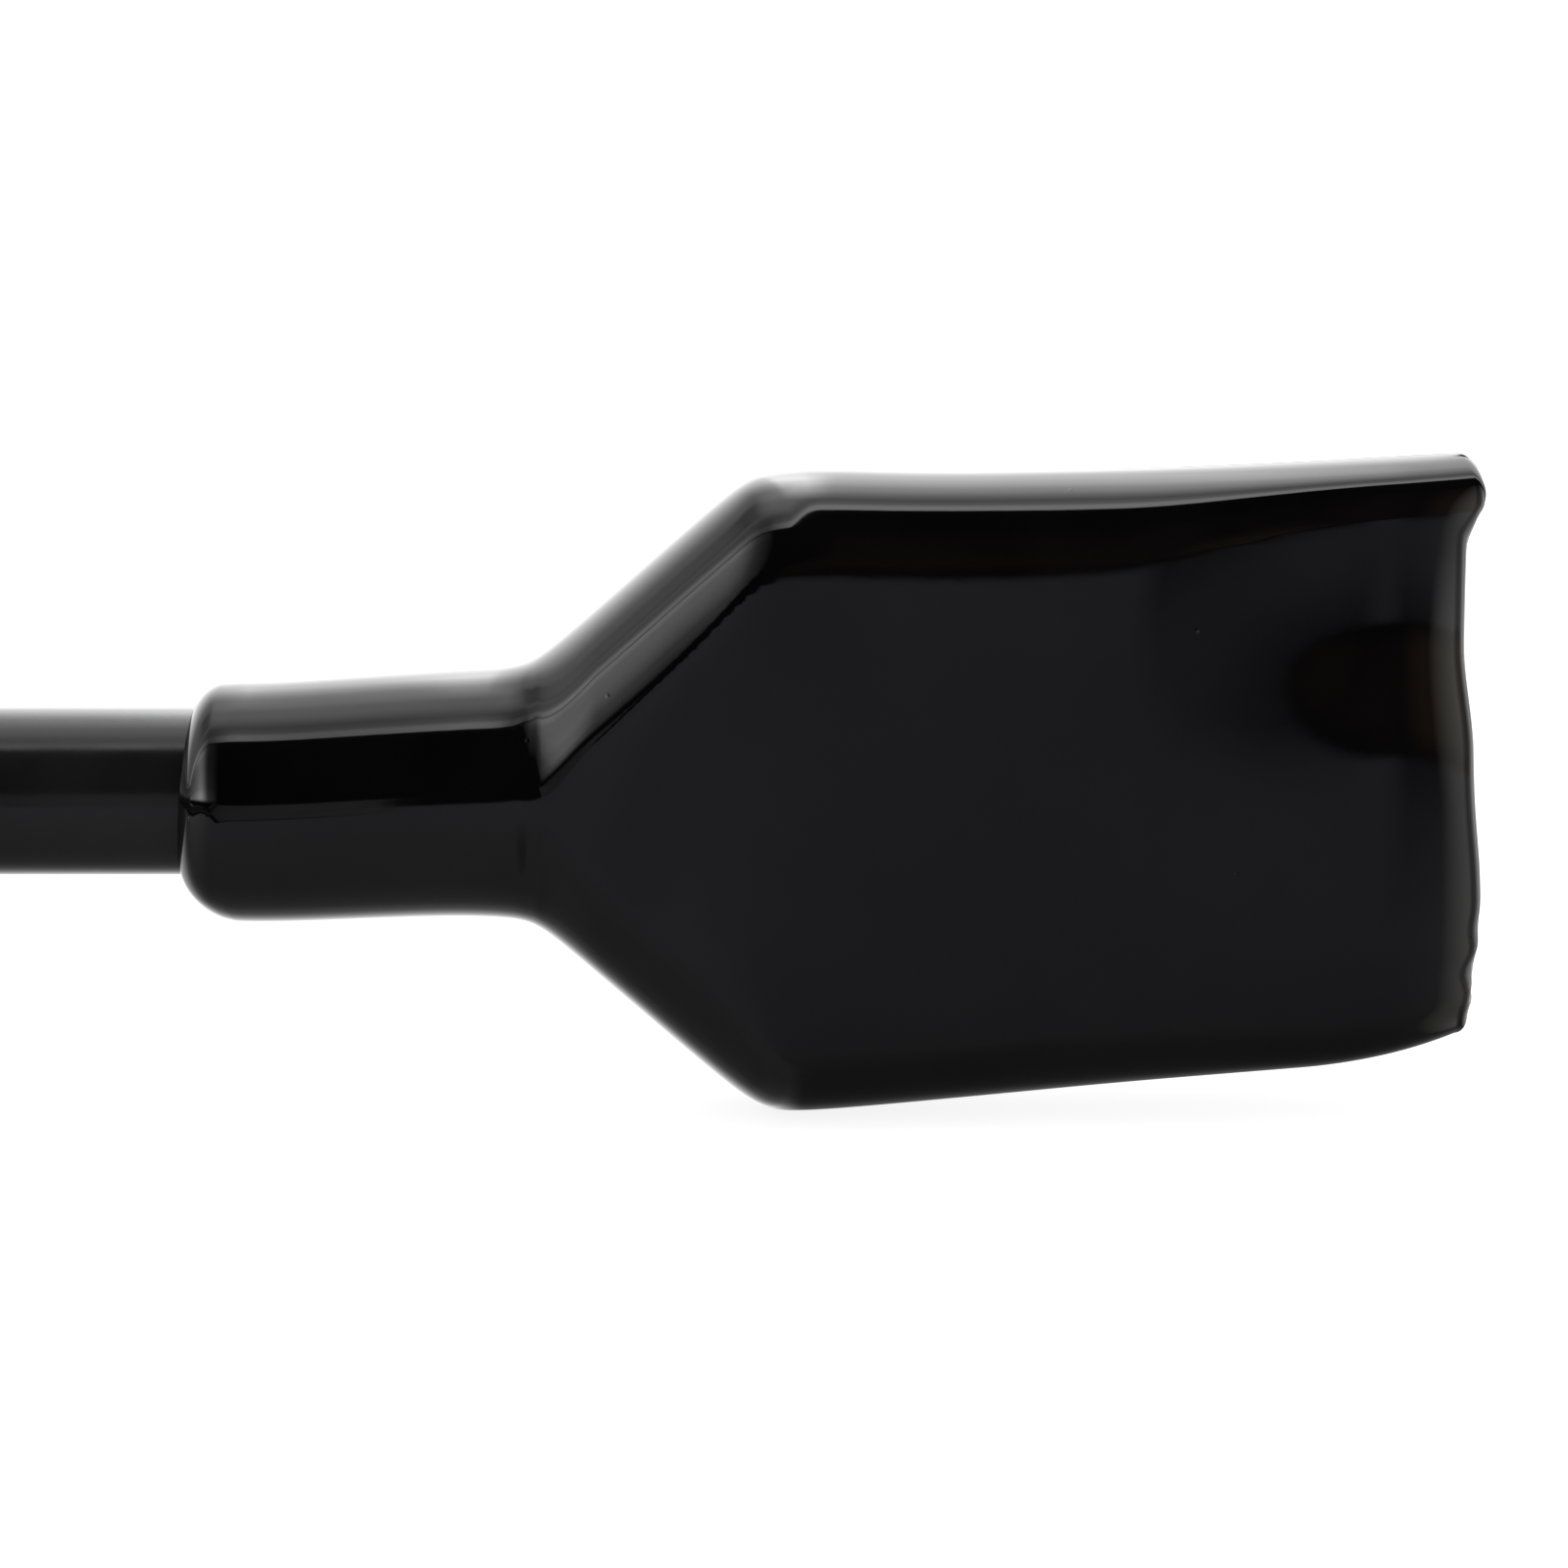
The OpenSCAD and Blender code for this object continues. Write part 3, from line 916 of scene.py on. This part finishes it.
@dataclass
class Grip:
    """A dipped sleeve with shallow finger waves and a soft bead at its front, and its end cap."""

    side: Side
    length: float = 125.0
    r: float = 15.5
    bore_r: float = 12.6
    waves: int = 5
    wave_h: float = 0.5
    end_round: float = 2.6
    flange: float = 3.0
    flange_r: float = 14.6
    rim_round: float = 1.2
    shank_r: float = 11.2
    shank_len: float = 18.0
    tab_w: float = 20.0
    tab_t: float = 6.0
    tab_len: float = 16.0
    hole_r: float = 4.0
    bevel: float = 0.8

    def outline(self) -> Array:
        """The sleeve's outline as (x, radius) pairs, once round the wall.

        Along the outside the radius is a cosine wave, less what a quarter circle takes off near each end.
        """
        ends = self.end_round * (1.0 - np.cos(np.linspace(0.0, math.pi / 2.0, 9)))
        x = np.unique(np.concatenate([np.linspace(0.0, self.length, 181), ends, self.length - ends]))
        near = np.clip(self.end_round - np.minimum(x, self.length - x), 0.0, None)
        cut = self.end_round - np.sqrt(np.clip(self.end_round**2 - near**2, 0.0, None))
        radius = self.r + self.wave_h * np.cos(2.0 * math.pi * self.waves * x / self.length) - cut
        outside = np.stack([x, np.maximum(radius, self.bore_r + 0.2)], -1)
        return np.vstack([outside, [[self.length, self.bore_r], [0.0, self.bore_r]]])

    def tab(self) -> Array:
        """The hanging tab as a ring round its hole.

        The outer edge is a half circle about the hole that runs on into straight sides towards the flange,
        read as a distance from the hole's middle at each angle. Going round the ring's section, the points
        run over the top face, down the outer edge, back under the tab and up through the hole.
        """
        a = circle(96)
        half, reach = self.tab_w / 2.0, self.tab_len + 0.5
        side_r = half / np.maximum(np.abs(np.sin(a)), 1e-6)
        end_r = reach / np.maximum(np.cos(a), 1e-6)
        outer = np.where(np.cos(a) > 0.0, np.minimum(side_r, end_r), half)
        h, v = self.tab_t / 2.0, self.bevel
        section = [(0.0, v, h), (1.0, -v, h), (1.0, -0.3 * v, h - 0.3 * v), (1.0, 0.0, h - v),
                   (1.0, 0.0, v - h), (1.0, -0.3 * v, 0.3 * v - h), (1.0, -v, -h), (0.0, v, -h),
                   (0.0, 0.3 * v, 0.3 * v - h), (0.0, 0.0, v - h), (0.0, 0.0, h - v),
                   (0.0, 0.3 * v, h - 0.3 * v)]
        middle = -self.flange - self.tab_len
        rings = []
        for share, off, z in reversed(section):
            r = share * outer + (1.0 - share) * self.hole_r + off
            rings.append(np.stack([r * np.cos(a) + middle, r * np.sin(a), np.full_like(a, z)], -1))
        return np.stack(rings)

    def cap(self) -> Array:
        """The cap's shank and rounded flange as one turned outline."""
        back, corner, shank, deep = -self.flange, self.rim_round, self.shank_r, self.shank_len
        rim = arc(back + corner, self.flange_r - corner, corner, 180.0, 90.0, 8)
        outline = np.vstack([[back, 0.01], rim, [-0.2, self.flange_r], [-0.05, self.flange_r - 0.2],
                             [-0.05, shank], [deep, shank], [deep, 0.01]])
        return along_x(outline, 96)

    def build(self) -> None:
        """Makes the sleeve, the cap and its tab and lets them stand for their CAD nodes."""
        side = self.side
        for name, grid, hollow, slot, node in (
            ("dipped_grip", along_x(self.outline(), 112), True, "grip_vinyl", "hand_grip"),
            ("end_cap", self.cap(), False, "black_plastic", "hang_cap"),
            ("hanging_tab", self.tab(), True, "black_plastic", "hang_cap"),
        ):
            add_piece(side.node(name), LAYOUT.handle(grid, side), side.body, slot, side.node(node), hollow)


# ---- The pivot ----

@dataclass
class PivotHardware:
    """The bolt and the lock nut, turned about the pivot's axis, in millimetres from the pivot."""

    shank_r: float = 4.0
    bore_gap: float = 0.08
    across_flats: float = 13.0
    flat_share: float = 0.96
    chamfer: float = 30.0
    head_z: tuple = (32.1, 37.4)
    nut_z: tuple = (-40.25, -32.25)
    collar: tuple = ((0.0, 5.0), (0.4, 5.5), (1.2, 5.7), (1.8, 5.9))
    tail_z: float = -42.75
    pitch: float = 1.25
    thread_h: float = 0.35
    thread_top: float = -20.0
    thread_in: float = 1.0
    thread_out: float = 2.0
    point_r: float = 0.7
    point_len: float = 1.2
    sides: int = 144

    def place(self, p: Array) -> Array:
        """Points about the pivot's axis, in the row frame, in metres."""
        return LAYOUT.turned(p, LAYOUT.rest_angle) * MM + LAYOUT.pivot

    def turned(self, z: Array, r: Array) -> Array:
        """Rings about the Z axis at heights z, with radii r that may differ round each ring."""
        a = circle(self.sides)[None, :]
        r = np.broadcast_to(r, (len(z), self.sides))
        return np.stack([r * np.cos(a), r * np.sin(a), np.broadcast_to(z[:, None], r.shape)], -1)

    def hexagon(self) -> Array:
        """The hexagon's edge at each angle: half its width over cos of the angle from the nearest flat."""
        a = circle(self.sides)
        from_flat = (a + math.pi / 6.0) % (math.pi / 3.0) - math.pi / 6.0
        return (self.across_flats / 2.0) / np.cos(from_flat)

    def hex_rings(self, low: float, high: float, inner: float, chamfer_low: bool) -> Array:
        """A hexagon with its corners turned off by a cone at the top and, if asked, below.

        Args:
            low: Height of the lower face.
            high: Height of the upper face.
            inner: Radius that the end faces stop at.
            chamfer_low: Whether the lower corners are turned off too.

        Returns:
            A grid of rings from the lower face's middle to the upper face's.
        """
        flat_r = self.across_flats / 2.0 * self.flat_share
        z = np.concatenate([[low, low], np.linspace(low, high, 25), [high, high]])
        depth = np.minimum(high - z, z - low) if chamfer_low else high - z
        turned_off = flat_r + depth / math.tan(math.radians(self.chamfer))
        edge = np.minimum(self.hexagon()[None, :], turned_off[:, None])
        edge[0] = edge[-1] = inner
        return self.turned(z, edge)

    def shank(self) -> Array:
        """The shank from its pointed tail up to the head, with a ridge that winds round its lower part.

        The thread's height at angle a and height z is that of a triangle wave of z / pitch - a / turn.
        """
        z = np.concatenate([[self.tail_z], np.linspace(self.tail_z, self.thread_top, 190), [self.head_z[0]]])
        a = np.linspace(0.0, 1.0, self.sides, endpoint=False)[None, :]
        wave = np.abs(((z[:, None] / self.pitch - a) % 1.0) * 2.0 - 1.0)
        fade = smoothstep(z, self.tail_z, self.tail_z + self.thread_in)
        fade = fade * (1.0 - smoothstep(z, self.thread_top - self.thread_out, self.thread_top))
        r = self.shank_r - self.thread_h * wave * fade[:, None]
        r -= self.point_r * (1.0 - smoothstep(z, self.tail_z, self.tail_z + self.point_len))[:, None]
        r[0] = 0.01
        return self.turned(z, r)

    def nut(self) -> Array:
        """The lock nut as a loop of rings: its hexagon, the turned collar below it and the bore."""
        low, high = self.nut_z
        bore = self.shank_r + self.bore_gap
        outline = np.array([(0.0, bore), *self.collar])
        hexagon = self.hex_rings(low + self.collar[-1][0], high, bore, True)[1:]
        return np.concatenate([self.turned(low + outline[:, 0], outline[:, 1:]), hexagon])

    def build(self) -> None:
        """Makes the bolt and nut and lets them stand for their CAD nodes."""
        for name, grid, hollow, node in (
            ("bolt_head", self.hex_rings(*self.head_z, 0.01, False), False, "pivot_bolt"),
            ("bolt_shank", self.shank(), False, "pivot_bolt"),
            ("collared_nut", self.nut(), True, "lock_nut"),
        ):
            add_piece(name, self.place(grid), Side.A.body, "zinc", node, hollow)


def dress_cad_nodes() -> None:
    """Gives each CAD node its record slot's finish."""
    for part in frame["record"]["subparts"]:
        dress(frame["nodes"][part["node"]], part["material_slot"])


# ---- The studio ----

Stops = tuple[tuple[float, float | tuple], ...]


@dataclass(frozen=True)
class Patch:
    """A patch of the room's light: a curve over one angle times a curve over the lean.

    A curve is a row of (place, value) stops, and a value is a grey or a colour.
    """

    turn: Stops
    side: Stops


@dataclass(frozen=True)
class Room:
    """What shiny surfaces mirror: a fixed room, whose light depends on a direction's turn and lean.

    The turn is the angle in degrees up from the front horizon, over the top and down behind, and the lean is
    how far the direction points along the hand. The ceiling's near edge slants: it is read at a turn that is
    shifted by slant_turn past the hand's middle, eased in over the slant_lean range.
    """

    slant_lean: tuple = (-0.13, 0.0)
    slant_turn: float = -21.0
    ceiling: Stops = (
        (69.3, 0), (70.2, 3), (75, 3), (78.5, 1.6), (84, 1.1), (90, 1.35), (98, 1.75), (112, 1.75),
        (122, 1.15), (134, 1.05), (150, 1.3), (165, 1.45), (180, 1.45),
    )
    fold: Patch = Patch(
        ((88, 0), (93, 0.62), (112, 0.7), (122, 0)),
        ((-1, 0.6), (-0.8, 0.5), (-0.6, 1), (-0.45, 0.9), (-0.3, 0.2), (-0.22, 0)),
    )
    gap: Patch = Patch(
        ((68, 1), (78, 0.9), (86, 0.5), (92, 0)),
        ((-0.8, 0), (-0.65, 0.4), (-0.5, 0.65), (-0.4, 0.8), (-0.3, 0.8), (-0.2, 0.5), (-0.14, 0.25),
         (-0.1, 0)),
    )
    backlight: Patch = Patch(
        ((106, 0), (114, 1.6), (120, 2.8), (132, 4), (144, 4), (154, 1.6), (166, 0.5), (178, 0)),
        ((-0.4, 0), (-0.2, 0.25), (-0.14, 0.4), (-0.1, 0.9), (-0.06, 1), (-0.02, 0.95), (0.02, 0.35),
         (0.06, 0.3), (0.1, 0.15), (1, 0.1)),
    )
    rim: Patch = Patch(
        ((126, 0), (140, 0.7), (155, 1.2), (180, 1.2)),
        ((-1, 1), (-0.3, 1), (-0.2, 0.95), (-0.12, 0.95), (-0.06, 0.9), (0.04, 0.9), (0.1, 0.2), (1, 0.1)),
    )
    left_box: Patch = Patch(
        ((9, 0), (12.5, 2.8), (18, 2.6), (24, 1.8), (34, 1.5), (45, 1.3), (58, 1.3), (64, 1.7),
         (67, 1.7), (70, 0)),
        ((-1, 0.45), (-0.85, 1.2), (-0.75, 1.7), (-0.65, 1.5), (-0.57, 1), (-0.5, 0.6), (-0.45, 0.35),
         (-0.38, 0.2), (-0.3, 0.08), (-0.25, 0)),
    )
    right_box: Patch = Patch(
        ((-180, 1), (-120, 1), (-90, 0.6), (-60, 0.6), (-20, 1), (67, 1), (70, 0)),
        ((0.4, 0), (0.5, (0.5, 0.48, 0.45)), (0.6, (0.95, 0.92, 0.86)), (0.7, (1.6, 1.56, 1.5)), (0.8, 2.4),
         (0.9, 4), (1, 3.6)),
    )
    brown_wall: Patch = Patch(
        ((-1, 0), (3, 1), (30, 0.8), (60, 0.3), (66, 0)),
        ((0, 0), (0.06, (0.06, 0.03, 0.022)), (0.12, (0.04, 0.024, 0.018)), (0.22, (0.03, 0.02, 0.015)),
         (0.34, (0.14, 0.09, 0.06))),
    )
    floor_glow: Patch = Patch(
        ((-180, 2), (-160, 1.8), (-145, 1.4), (-135, 0.9), (-125, 0.4), (-110, 0.16), (-95, 0.12),
         (-80, 0.1), (-40, 0.1), (-20, 0.05), (-8, 0)),
        ((-1, 0.9), (-0.5, 0.6), (-0.4, 0.6), (-0.3, 0.9), (-0.06, 1), (0.01, 0.1), (0.3, 0.1), (1, 0.3)),
    )
    dark_room: Patch = Patch(
        ((-130, 0.12), (-110, 0.2), (-95, 0.26), (-80, 0.34), (-60, 0.46), (-40, 0.56),
         (-20, (0.8, 0.78, 0.85)), (-8, (1, 0.97, 1.09)), (-1.2, (1, 0.97, 1.09)), (0, 0)),
        ((-1, (0.7, 0.67, 0.64)), (-0.5, (0.4, 0.39, 0.38)), (-0.3, 0.33), (-0.1, 0.29), (-0.04, 0.32),
         (-0.01, 0.33), (0.02, 0.29), (0.05, 0.26), (0.12, 0.245), (0.2, 0.23), (0.4, 0.3), (1, 0.3)),
    )
    far_wall: Patch = Patch(
        ((-16, 0), (-6, 0.5), (-1, 0.7)),
        ((0.16, 0), (0.24, 1), (0.42, 1), (0.52, 0)),
    )


class RoomGraph(Graph):
    """The nodes that work out a room's light for the direction being looked in."""

    def __init__(self, tree: bpy.types.NodeTree, room: Room, front: Array, along: Array) -> None:
        """Starts with the direction's turn and lean.

        Args:
            tree: The world's nodes.
            room: The room.
            front: The level direction that a turn of 0 faces.
            along: The level direction that a lean of 1 has.
        """
        super().__init__(tree)
        self.room = room
        up, ahead, self.lean = (self.reach(way) for way in ((0.0, 0.0, 1.0), front, along))
        angle = self.add("ShaderNodeMath", {0: up, 1: ahead}, operation="ARCTAN2").outputs["Value"]
        self.turn = self.add("ShaderNodeMath", {0: angle}, operation="DEGREES").outputs["Value"]
        low, high = room.slant_lean
        shift = self.add("ShaderNodeMapRange", {
            "Value": self.lean, "From Min": low, "From Max": high, "To Max": room.slant_turn,
        }, interpolation_type="SMOOTHSTEP").outputs["Result"]
        self.over = self.add("ShaderNodeMath", {0: self.turn, 1: shift}, operation="ADD").outputs["Value"]

    def reach(self, way: Array) -> Socket:
        """How far the direction points along this way."""
        inputs = {0: self.coords.outputs["Generated"], 1: tuple(way)}
        return self.add("ShaderNodeVectorMath", inputs, operation="DOT_PRODUCT").outputs["Value"]

    def both(self, how: str, a: Socket, b: Socket) -> Socket:
        """One arithmetic step on two colours."""
        return self.add("ShaderNodeVectorMath", {0: a, 1: b}, operation=how).outputs["Vector"]

    def curve(self, source: Socket, stops: Stops) -> Socket:
        """The curve through the stops, read at source."""
        low, high = stops[0][0], stops[-1][0]
        span = self.add("ShaderNodeMapRange", {"Value": source, "From Min": low, "From Max": high})
        ramp = self.add("ShaderNodeValToRGB", {"Fac": span.outputs["Result"]})
        elements = ramp.color_ramp.elements
        while len(elements) < len(stops):
            elements.new(0.5)
        for element, (at, value) in zip(elements, stops):
            element.position = (at - low) / (high - low)
            element.color = (*np.broadcast_to(np.asarray(value, float), 3), 1.0)
        return ramp.outputs["Color"]

    def patch(self, patch: Patch) -> Socket:
        """A patch's light."""
        return self.both("MULTIPLY", self.curve(self.turn, patch.turn), self.curve(self.lean, patch.side))

    def light(self) -> Socket:
        """The ceiling less its dark lines, plus every bright patch, plus the dark room less its far wall."""
        room = self.room
        ceiling = self.curve(self.over, room.ceiling)
        lines = self.both("ADD", self.patch(room.fold), self.patch(room.gap))
        total = self.both("SUBTRACT", ceiling, self.both("MULTIPLY", ceiling, lines))
        for patch in (room.backlight, room.rim, room.left_box, room.right_box, room.brown_wall,
                      room.floor_glow):
            total = self.both("ADD", total, self.patch(patch))
        dark = self.patch(room.dark_room)
        dimmed = self.both("MULTIPLY", dark, self.patch(room.far_wall))
        return self.both("ADD", total, self.both("SUBTRACT", dark, dimmed))


@dataclass
class Studio:
    """A white sweep under an overhead softbox, with the room that the gloss mirrors, and the camera."""

    azimuth: float = 28.7
    elevation: float = 11.5
    distance: float = 0.68
    view_width: float = 0.2328
    aim: tuple = (89.2, 0.0, 1.0)
    sensor: float = 36.0
    floor_size: float = 14.0
    floor_albedo: float = 0.3
    floor_glow: float = 0.86
    white: float = 1.04
    lamp_power: float = 14.0
    lamp_size: tuple = (1.6, 1.1)
    lamp_place: tuple = (0.1, 0.1, 1.5)

    @property
    def front(self) -> Array:
        """The level direction from the palm towards the camera."""
        a = math.radians(self.azimuth)
        return np.array([math.sin(a), -math.cos(a), 0.0])

    @property
    def along(self) -> Array:
        """The level direction along the hand, to the camera's right."""
        a = math.radians(self.azimuth)
        return np.array([math.cos(a), math.sin(a), 0.0])

    def camera(self) -> None:
        """Makes the camera, square to the palm and a little above it."""
        e = math.radians(self.elevation)
        target = LAYOUT.hand(np.array(self.aim), Side.A)
        back = self.front * math.cos(e) + np.array([0.0, 0.0, math.sin(e)])
        data = bpy.data.cameras.new("camera")
        data.sensor_width = self.sensor
        data.lens = self.sensor * self.distance / self.view_width
        data.clip_start, data.clip_end = 0.02, 60.0
        cam = bpy.data.objects.new("camera", data)
        cam.location = Vector(target + back * self.distance)
        cam.rotation_mode = "QUATERNION"
        cam.rotation_quaternion = Vector(-back).to_track_quat("-Z", "Y")
        bpy.context.scene.collection.objects.link(cam)
        bpy.context.scene.camera = cam

    def floor(self) -> None:
        """Makes the pale floor. The gloss mirrors the room instead of the floor."""
        h = self.floor_size / 2.0
        corners = np.array([[-h, -h, 0.0], [h, -h, 0.0], [h, h, 0.0], [-h, h, 0.0]])
        floor = mesh_object("floor", corners, [np.array([[0, 1, 2, 3]])])
        floor.visible_glossy = False
        m = Material("floor")
        m.set(Roughness=0.9, IOR=1.3, Emission_Strength=self.floor_glow, Emission_Color=(1.0, 1.0, 1.0, 1.0))
        m.tint(m.noise(3.0, 2.0), (self.floor_albedo,) * 3, (self.floor_albedo * 1.01,) * 3)
        floor.data.materials.append(m.material)

    def lamp(self) -> None:
        """Makes the overhead softbox that lights the floor and the matte pieces."""
        data = bpy.data.lights.new("softbox", "AREA")
        data.shape = "RECTANGLE"
        data.size, data.size_y = self.lamp_size
        data.energy = self.lamp_power
        lamp = bpy.data.objects.new("softbox", data)
        lamp.location = self.lamp_place
        lamp.visible_camera = lamp.visible_glossy = False
        bpy.context.scene.collection.objects.link(lamp)

    def world(self) -> None:
        """Makes the world: white to the camera and to matte surfaces, and the studio room to shiny ones."""
        world = bpy.data.worlds.new("studio")
        bpy.context.scene.world = world
        world.use_nodes = True
        world.node_tree.nodes.clear()
        graph = RoomGraph(world.node_tree, Room(), self.front, self.along)
        room = graph.add("ShaderNodeBackground", {"Color": graph.light()})
        white = graph.add("ShaderNodeBackground", {"Color": (1.0, 1.0, 1.0, 1.0), "Strength": self.white})
        mix = graph.add("ShaderNodeMixShader", {
            0: graph.add("ShaderNodeLightPath", {}).outputs["Is Glossy Ray"],
            1: white.outputs["Background"],
            2: room.outputs["Background"],
        })
        graph.add("ShaderNodeOutputWorld", {"Surface": mix.outputs["Shader"]})

    def build(self) -> None:
        """Sets up the camera, floor, lamp and room, and a plain colour response."""
        self.camera()
        self.floor()
        self.lamp()
        self.world()
        bpy.context.scene.view_settings.view_transform = "Standard"
        bpy.context.scene.view_settings.look = "None"


def main() -> None:
    """Builds the studio and the tool in order."""
    logging.basicConfig(level=logging.INFO, format="%(name)s: %(message)s")
    Studio().build()
    dress_cad_nodes()
    for side in Side:
        Hand(side).build()
        RailFrame(side).build()
        ArmTube(side).build()
        Grip(side).build()
    PivotHardware().build()


if __name__ == "__main__":
    main()
